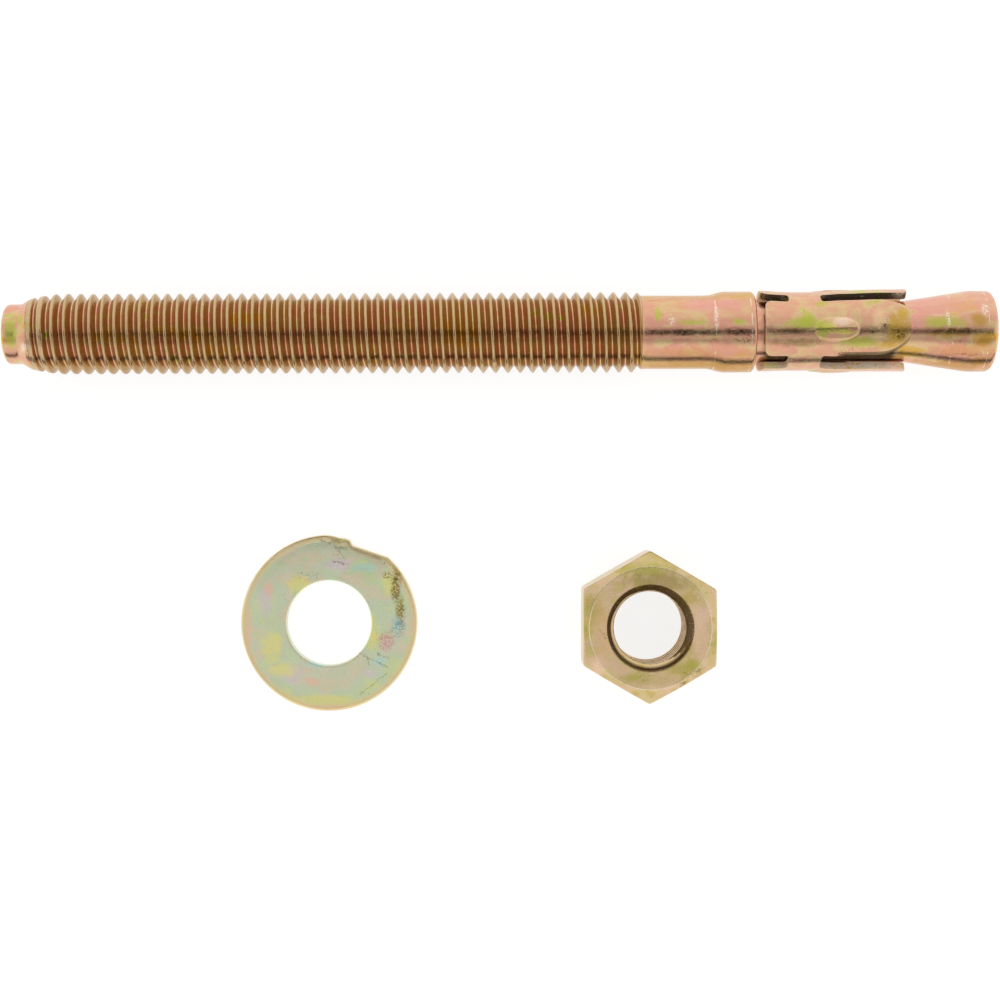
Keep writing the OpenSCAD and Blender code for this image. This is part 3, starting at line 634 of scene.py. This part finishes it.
def leaf_span(leaf, x, r):
    """Angles that a leaf spans at x on the surface of radius r, from straight up towards +Y."""
    near = math.asin(gap_half(x, NEAR_HALF_W) / r)
    far = math.asin(gap_half(x, FAR_HALF_W) / r)
    if leaf:
        end = SEAM_AT
        for left in (x, CLIP_LEN - x):
            if left < 0.5:
                end -= 0.5 * (1 - math.sqrt(max(0.0, 1 - (1 - left / 0.5) ** 2))) / r
        return (NEAR_GAP + near, end) if leaf > 0 else (-end, -FAR_GAP - far)
    lo, hi = -FAR_GAP + far, NEAR_GAP - near
    d = x - (CLIP_LEN - TIP_LEN)
    if d > 0:
        # the middle leaf narrows to a blunt tip, a little to one side
        half = LEAF_R * math.sin(MIDDLE_HALF)
        back = half - TIP_W / 2
        rr = (TIP_LEN ** 2 + back ** 2) / (2 * back)
        y = half - (rr - math.sqrt(rr * rr - d * d))
        left = CLIP_LEN - x
        if left < 0.4:
            y -= 0.4 * (1 - math.sqrt(max(0.0, 1 - (1 - left / 0.4) ** 2)))
        lean = 0.25 * (d / TIP_LEN) ** 2
        hi = min(hi, math.asin((y + lean) / LEAF_R))
        lo = max(lo, -math.asin((y - lean) / LEAF_R))
    return lo, hi


def boss_form(x, a):
    """Height share of the raised wedge at each place, and how far out in its outline that is, 1 at its foot."""
    u, v = x - BOSS_AT, a * LEAF_R
    long = np.where(u < 0, 2.1, 3.4)
    out = (np.abs(u / long) ** 2.4 + np.abs((v + 0.16) / 1.46) ** 2.4) ** (1 / 2.4)
    facets = (np.abs(u) / long + np.abs(v) / np.where(v > 0, 1.30, 1.62)) / 1.2
    foot = smooth((1 - out) / 0.14)
    return foot * (0.32 + 0.68 * np.clip(1 - facets, 0, 1)), out


def clip_outside(x, a, leaf, lo, hi):
    """Outside radius of the sheet at x and at the angle a from straight up, with masks of painted shade along its
    creases and drawn strip, and of its rubbed edges, which carry painted highlights.
    """
    r = np.where(x < LIP_LEN + 0.8, LIP_R + (WEB_R - LIP_R) * smooth(x / (LIP_LEN + 0.8)), WEB_R)
    r = r + (LEAF_R - WEB_R) * (0.7 * smooth((x - SLOT_AT + 0.8) / 3.5) + 0.3 * smooth((x - SLOT_AT - 2) / 6))
    at = a - leaf * BOSS_PITCH
    rise, out = boss_form(x, at)
    r = r + BOSS_H * rise
    # painted shade along the lower side of the boss's outline
    painted_crease_shade = 0.42 * np.exp(-((out - 1.05) / 0.045) ** 2) * smooth((0.3 - at * LEAF_R) / 0.8)
    # rubbed wear on the boss's outline and the sheet's edges, with a painted highlight along the boss's ridge
    rub_and_highlight = np.exp(-((out - 0.93) / 0.045) ** 2) * np.clip(0.45 + 0.5 * ripple(x, at * LEAF_R, 33, 1.2), 0, 1)
    rub_and_highlight = np.maximum(rub_and_highlight, 0.4 * np.exp(-(at * LEAF_R / 0.06) ** 2) * (x > BOSS_AT) * (out < 0.9))
    strip = np.zeros_like(r)
    for edge in ((a - lo) * r, (hi - a) * r, x + 0 * a):
        rub_and_highlight = np.maximum(rub_and_highlight, 0.65 * np.exp(-((edge - 0.08) / 0.10) ** 2))
    if leaf == 0:
        # the tip bends in past a fold across the leaf, and the shear has drawn one edge down, with a painted shade line
        # along the drawn edge
        r = r - 0.20 * np.clip((x - 13.8) / 3.6, 0, 1) ** 0.9 - 0.03 * np.exp(-((x - 13.9) / 0.25) ** 2)
        edge = (a - lo) * r
        on = smooth((x - 8.6) / 1.2)
        drawn = smooth((0.56 - edge) / 0.22) + 0.5 * np.clip((0.4 - edge) / 0.4, 0, 1)
        r = r - 0.17 * drawn * on
        painted_crease_shade = np.maximum(painted_crease_shade, np.exp(-((edge - 0.52) / 0.07) ** 2) * on)
        # painted shade over the drawn-down strip along the edge
        strip = smooth((0.48 - edge) / 0.12) * on
        rub_and_highlight = rub_and_highlight * (1 - strip)
    return r, painted_crease_shade, rub_and_highlight, strip


def clip_mesh():
    c = np.array([0, 0.002, 0.01, 0.03, 0.07, 0.15, 0.28, 0.45, 0.7, 1.0]) * 0.5
    xs = np.concatenate([
        0.9 * (1 - np.cos(np.linspace(0, PI / 2, 9))), np.linspace(1.0, LIP_LEN - 0.5, 9), LIP_LEN - c,
        np.linspace(LIP_LEN + 0.2, SLOT_AT - 0.15, 28), SLOT_AT + c, np.linspace(SLOT_AT + 0.60, 13.3, 56),
        np.linspace(13.42, 16.7, 24), CLIP_LEN - 0.7 * (1 - np.sin(np.linspace(0, PI / 2, 9)))])
    xs = np.array(sorted(set(np.round(xs, 4))))
    m = 76
    ts = (np.sin(np.linspace(-PI / 2, PI / 2, m + 1) * 0.9) / math.sin(PI / 2 * 0.9) + 1) / 2
    verts, marks = [], []
    for leaf in (-1, 0, 1):
        for inner in (0, CLIP_WALL):
            for x in xs:
                lo, hi = leaf_span(leaf, x, LEAF_R - inner)
                a = lo + (hi - lo) * ts
                r, painted_crease_shade, rub_and_highlight, strip = clip_outside(np.full_like(a, x), a, leaf, lo, hi)
                marks.append(np.stack([painted_crease_shade, rub_and_highlight, strip], axis=-1) * (inner == 0))
                r = r + ripple(x, a * 5, 31, 4.0) * 0.012 - inner
                # it hangs a little to one side of the neck, and its middle leaf is sheared a little shorter
                shift = 0.10 - 0.05 * smooth(x / 4) + 0.10 * smooth((x - 7) / 8)
                xx = x + (0.25 * (1 - smooth(x / 3.0)) if leaf == 0 else 0.0)
                for ri, ai in zip(r, a):
                    verts.append((CLIP_X + xx, STUD_Y + shift + ri * math.sin(ai), AXIS_Z + ri * math.cos(ai)))
    w, rows = m + 1, len(xs)
    faces, walls = [], set()
    for k in range(3):
        o, q = 2 * k * rows * w, (2 * k + 1) * rows * w
        for i in range(rows - 1):
            for j in range(m):
                n = i * w + j
                faces.append((o + n, o + n + 1, o + n + w + 1, o + n + w))
                faces.append((q + n, q + n + w, q + n + w + 1, q + n + 1))
        first = len(faces)
        for j in range(m):
            faces.append((o + j + 1, o + j, q + j, q + j + 1))
            e = (rows - 1) * w + j
            faces.append((o + e, o + e + 1, q + e + 1, q + e))
        for i in range(rows - 1):
            joined = LIP_LEN <= (xs[i] + xs[i + 1]) / 2 <= SLOT_AT
            for j, seam in ((0, k == 0), (m, k == 2)):
                if joined and not seam:
                    continue
                n, up = i * w + j, (i + 1) * w + j
                wall = (o + n, o + up, q + up, q + n)
                faces.append(wall if j == 0 else wall[::-1])
        walls.update(range(first, len(faces)))
    marks = np.concatenate(marks)
    return np.array(verts), faces, walls, {"painted_crease_shade": marks[:, 0], "rub_and_highlight": marks[:, 1], "strip": marks[:, 2]}


verts, faces, walls, extra = clip_mesh()
clip = build("expansion_clip_skin", verts, faces, "clip", "expansion_clip", clip_mat, extra)
clip.data.materials.append(sheared_mat)
clip.data.polygons.foreach_set("material_index", [1 if i in walls else 0 for i in range(len(faces))])


def weld_and_bevel(o, width, segments=3, angle=50):
    """Merges coincident points and rounds the sheet's sheared edges."""
    import bmesh
    bm = bmesh.new()
    bm.from_mesh(o.data)
    bmesh.ops.remove_doubles(bm, verts=bm.verts, dist=2e-6)
    bmesh.ops.recalc_face_normals(bm, faces=bm.faces)
    bm.to_mesh(o.data)
    bm.free()
    mod = o.modifiers.new("rounded edges", "BEVEL")
    mod.width = width * MM
    mod.segments = segments
    mod.limit_method = "ANGLE"
    mod.angle_limit = math.radians(angle)
    mod.harden_normals = False


weld_and_bevel(clip, 0.09)


# Washer

def washer_outer(a):
    """Rim radius at each angle, with the sheared bite and its bruise."""
    deg = np.degrees(a) % 360
    p = np.array([0, 47, 48, 72.5, 73.5, 76, 79, 83, 88, 92, 360])
    d = np.array([0, 0, 0.0, 0.87, 0.84, 0.34, 0.24, 0.30, 0.12, 0.0, 0])
    loss = np.interp(deg, p, d)
    # between 48 and 72.5 degrees the shear is a straight chord
    a0, a1 = math.radians(48), math.radians(72.5)
    p0 = np.array([WASHER_R * math.cos(a0), WASHER_R * math.sin(a0)])
    p1 = np.array([(WASHER_R - 0.87) * math.cos(a1), (WASHER_R - 0.87) * math.sin(a1)])
    e = p1 - p0
    nrm = np.array([e[1], -e[0]]) / np.linalg.norm(e)
    chord = (p0 @ nrm) / (np.cos(a) * nrm[0] + np.sin(a) * nrm[1])
    return np.where((deg > 48) & (deg < 72.5), np.minimum(chord, WASHER_R), WASHER_R - loss)


def washer_mesh():
    n = 256
    th = np.arange(n) * TURN / n
    out = washer_outer(th)
    soft = 0.42
    cut = smooth((WASHER_R - out) / 0.4)
    rows = []
    # section: up the hole, over the top, down the rim, under the bottom
    hole_edge = 0.25
    for t in np.linspace(0, 1, 5):
        rows.append((0, None, hole_edge + (WASHER_T - 2 * hole_edge) * t))
    section = []
    for a in np.linspace(PI, PI / 2, 5):
        section.append(("in", hole_edge + hole_edge * math.cos(a), WASHER_T - hole_edge + hole_edge * math.sin(a)))
    for s in np.linspace(0.04, 0.96, 16):
        section.append(("mid", s, WASHER_T))
    for a in np.linspace(PI / 2, 0, 6):
        section.append(("out", -soft + soft * math.cos(a), WASHER_T - soft + soft * math.sin(a)))
    section.append(("out", 0.0, WASHER_T / 2))
    for a in np.linspace(0, -PI / 2, 6):
        section.append(("out", -soft + soft * math.cos(a), soft + soft * math.sin(a)))
    for s in np.linspace(0.96, 0.04, 8):
        section.append(("mid", s, 0.0))
    for a in np.linspace(-PI / 2, -PI, 5):
        section.append(("in", hole_edge + hole_edge * math.cos(a), hole_edge + hole_edge * math.sin(a)))
    section.append(("in", 0.0, WASHER_T / 2))
    verts, rim, burr = [], [], []
    hole = WASHER_HOLE_R + 0.0 * th
    bruised = np.exp(-((np.degrees(th) - 80) / 8) ** 2)
    for kind, a, z in section:
        if kind == "in":
            r = hole + a
        elif kind == "out":
            r = out + a * (1 - 0.5 * cut)
        else:
            r = (hole + hole_edge) * (1 - a) + (out - soft) * a
        zz = np.full(n, z)
        if kind == "mid" and z > 0:
            x, y = r * np.cos(th), r * np.sin(th)
            zz = zz - 0.03 * smooth(ripple(x, y, 41, 6.0) * 0.5 + 0.3) - 0.035 * smooth((a - 0.75) / 0.25)
        near = bruised * smooth((r - 8.9) / 1.2)
        lumps = ripple(r * np.cos(th), r * np.sin(th), 43, 0.75)
        if z > 0.5:
            zz = zz + near * 0.10 * lumps
            r = r + near * 0.05 * lumps * (kind == "out")
        # painted sheen: the rim mask rises over the rounded outer edge
        rim.append(np.full(n, smooth((a - 0.88) / 0.10) * 0.5 if kind == "mid" else 0.5 + 0.5 * (a + soft) / soft if kind == "out" else 0.0))
        burr.append(near)
        # the bruise presses the top edge down beside the bite
        zz = np.where((z > WASHER_T - soft - 0.01) & (kind == "out"), zz - 0.10 * cut, zz)
        verts.append(np.stack([r * np.cos(th) + WASHER[0], r * np.sin(th) + WASHER[1], zz], axis=-1))
    k = len(section)
    verts = np.concatenate(verts)
    faces = []
    for i in range(k):
        a, b = i * n, ((i + 1) % k) * n
        faces += [(a + j, b + j, b + (j + 1) % n, a + (j + 1) % n) for j in range(n)]
    return verts, faces, {"rim": np.concatenate(rim), "burr": np.concatenate(burr)}


verts, faces, extra = washer_mesh()
washer = build("flat_washer_skin", verts, faces, "stud", "flat_washer", washer_mat, extra)


# Nut

def hex_radius(a):
    """Radius of the hexagon with softly rounded corners, corners up and down."""
    k = np.mod(a - NUT_TURN + PI / 6, PI / 3) - PI / 6
    return NUT_AF / 2 / np.cos(k)


def nut_mesh():
    n = 288
    th = np.arange(n) * TURN / n + NUT_TURN
    hexr = hex_radius(th)
    corner = NUT_AF / 2 / math.cos(PI / 6)
    hexr = soft_min(hexr, corner - 0.02, 0.18)
    face_r = NUT_AF / 2 * 0.92
    slope = math.tan(math.radians(30))
    bore_r, thread_deep = 4.32, 0.68
    rows, marks = [], []

    def ring(r, z, sink=0.0, crest=0.0, fold=0.0):
        rows.append((np.broadcast_to(r, th.shape).copy(), np.broadcast_to(z, th.shape).copy()))
        marks.append(np.stack([np.broadcast_to(v, th.shape) for v in (sink, crest, fold)], axis=-1))

    # outside, from the bottom face to the top face; the chamfer cone meets the flats in arcs
    drop = np.maximum(0.0, (hexr - face_r) * slope)
    for share in (0.0, 0.25, 0.5, 0.75, 0.93):
        rr = face_r + (hexr - face_r) * share
        ring(rr, (rr - face_r) * slope)
    ring(hexr - 0.01, drop + 0.03)
    for t in np.linspace(0.03, 0.97, 9):
        ring(hexr, drop + 0.08 + (NUT_H - 2 * drop - 0.16) * t)
    ring(hexr - 0.01, NUT_H - drop - 0.03)
    for share in (0.93, 0.75, 0.5, 0.25):
        rr = face_r + (hexr - face_r) * share
        ring(rr, NUT_H - (rr - face_r) * slope)
    ring(face_r + 0.09, NUT_H - 0.09 * slope)
    # painted highlight along the edge of the top face
    ring(face_r, NUT_H - 0.006, fold=1.0)
    sink_r = 5.3
    for r in (face_r - 0.12, 6.9, 6.4, 5.9, 5.6, sink_r + 0.10, sink_r):
        dish = 0.02 * smooth((face_r - r) / 0.5)
        ring(r, NUT_H - dish)
    # countersink, then the thread inside the bore, and out at the bottom
    inner = []
    depth = sink_r - bore_r
    zs = np.concatenate([np.linspace(NUT_H - 0.10, NUT_H - 0.9, 8), np.linspace(NUT_H - 0.95, 0.95, 92), np.linspace(0.9, 0.10, 8)])
    for z in zs:
        ph = z / PITCH - th / TURN
        d = np.abs(ph - np.round(ph)) * PITCH
        t = soft_max(soft_min((0.75 - 0.10 - d) / 0.42, 1.0, 0.14), 0.0, 0.2)
        r = bore_r + thread_deep * (1 - t)
        cone = bore_r + np.maximum(0, max(z - (NUT_H - depth), depth - z))
        in_cone = smooth((cone - r) / 0.08) * (z > NUT_H / 2)
        # painted shade in the countersink and the thread's roots, painted highlight on its crests
        ring(soft_max(r, cone, 0.06), z, np.maximum(in_cone, 0.8 * (1 - t)), t * (1 - in_cone))
    for r in (sink_r, sink_r + 0.10, 5.9, 6.6, face_r - 0.12):
        ring(r, 0.0)
    k = len(rows)
    verts = []
    for r, z in rows:
        verts.append(np.stack([r * np.cos(th) + NUT[0], r * np.sin(th) + NUT[1], z], axis=-1))
    verts = np.concatenate(verts)
    faces = []
    for i in range(k):
        a, b = i * n, ((i + 1) % k) * n
        faces += [(a + j, a + (j + 1) % n, b + (j + 1) % n, b + j) for j in range(n)]
    marks = np.concatenate(marks)
    return verts, faces, {"sink": marks[:, 0], "crest": marks[:, 1], "fold": marks[:, 2]}


verts, faces, extra = nut_mesh()
nut = build("hex_nut_skin", verts, faces, "stud", "hex_nut", nut_mat, extra)


# Floor, light and camera

def plain(name, colour, glow=0.0):
    """Matt paper, lit from behind where glow is over 0."""
    mat = bpy.data.materials.new(name)
    n = Nodes(mat)
    coords = n.add("ShaderNodeTexCoord").outputs["Object"]
    tone = n.noise(coords, 3.0, 2.0, 0.5)
    low = tuple(c * 0.985 for c in colour[:3]) + (1.0,)
    shader = n.add("ShaderNodeBsdfPrincipled", Roughness=0.9)
    n.link(n.mix(tone, low, colour), shader.inputs["Base Color"])
    shader.inputs["Emission Color"].default_value = (1, 1, 1, 1)
    shader.inputs["Emission Strength"].default_value = glow
    out = n.add("ShaderNodeOutputMaterial")
    n.link(shader.outputs[0], out.inputs["Surface"])
    return mat


def sheet(name, centre, size_x, size_y, mat):
    me = bpy.data.meshes.new(name)
    x, y, z = centre
    a, b = size_x / 2, size_y / 2
    me.from_pydata([(x - a, y - b, z), (x + a, y - b, z), (x + a, y + b, z), (x - a, y + b, z)], [], [(0, 1, 2, 3)])
    o = bpy.data.objects.new(name, me)
    bpy.context.scene.collection.objects.link(o)
    me.materials.append(mat)
    return o


floor = sheet("floor", (0, 0, 0), 6, 6, plain("pale floor", (0.32, 0.32, 0.32, 1), 0.79))


def dark_card(name, centre, size_x, size_y, tone, turn_x=0.0):
    """A card that only the metal's reflections see."""
    c = sheet(name, (0, 0, 0), size_x, size_y, plain(name, (tone, tone, tone, 1)))
    c.location = centre
    c.rotation_euler = (turn_x, 0, 0)
    c.visible_camera = False
    c.visible_shadow = False
    c.visible_diffuse = False
    return c


dark_card("card over the stud", (0.006, 0.0142, 0.075), 0.165, 0.021, 0.04)
dark_card("edge of the front lamp", (0, -0.186, 0.34), 1.3, 0.125, 0.42)
dark_card("strip before the stud", (0.004, 0.004, 0.0059), 0.15, 0.0046, 0.02, math.radians(90))


def area(name, place, aim, size, power, size_y=None):
    data = bpy.data.lights.new(name, "AREA")
    data.shape = "RECTANGLE"
    data.size = size
    data.size_y = size_y or size
    data.energy = power
    o = bpy.data.objects.new(name, data)
    o.location = place
    o.rotation_euler = (Vector(aim) - Vector(place)).to_track_quat("-Z", "Y").to_euler()
    bpy.context.scene.collection.objects.link(o)
    return o


area("soft box back", (0.0, 0.75, 0.45), (0, 0, 0), 1.6, 0.35, 0.7)
area("soft box front", (0.0, -0.55, 0.60), (0, 0, 0), 1.3, 0.3, 0.6)

world = bpy.data.worlds.new("studio")
bpy.context.scene.world = world
sky = Nodes(world)
height = sky.add("ShaderNodeSeparateXYZ")
sky.link(sky.add("ShaderNodeTexCoord").outputs["Generated"], height.inputs[0])
tones = [(0.0, 0.99), (0.15, 0.98), (0.5, 0.91), (0.88, 0.82), (1.0, 0.81)]
back = sky.add("ShaderNodeBackground")
sky.link(sky.ramp(height.outputs["Z"], [(z, (v, v * 0.99, v * 0.975, 1)) for z, v in tones]), back.inputs["Color"])
sky.link(back.outputs[0], sky.add("ShaderNodeOutputWorld").inputs["Surface"])

cam_data = bpy.data.cameras.new("camera")
cam = bpy.data.objects.new("camera", cam_data)
bpy.context.scene.collection.objects.link(cam)
cam.location = (0.000125, 0.00029, 0.225)
cam.rotation_euler = (0, 0, math.radians(-0.18))
cam_data.sensor_width = 36
cam_data.lens = 65.2
cam_data.clip_start = 0.01
cam_data.clip_end = 20
bpy.context.scene.camera = cam
bpy.context.scene.view_settings.view_transform = "Standard"
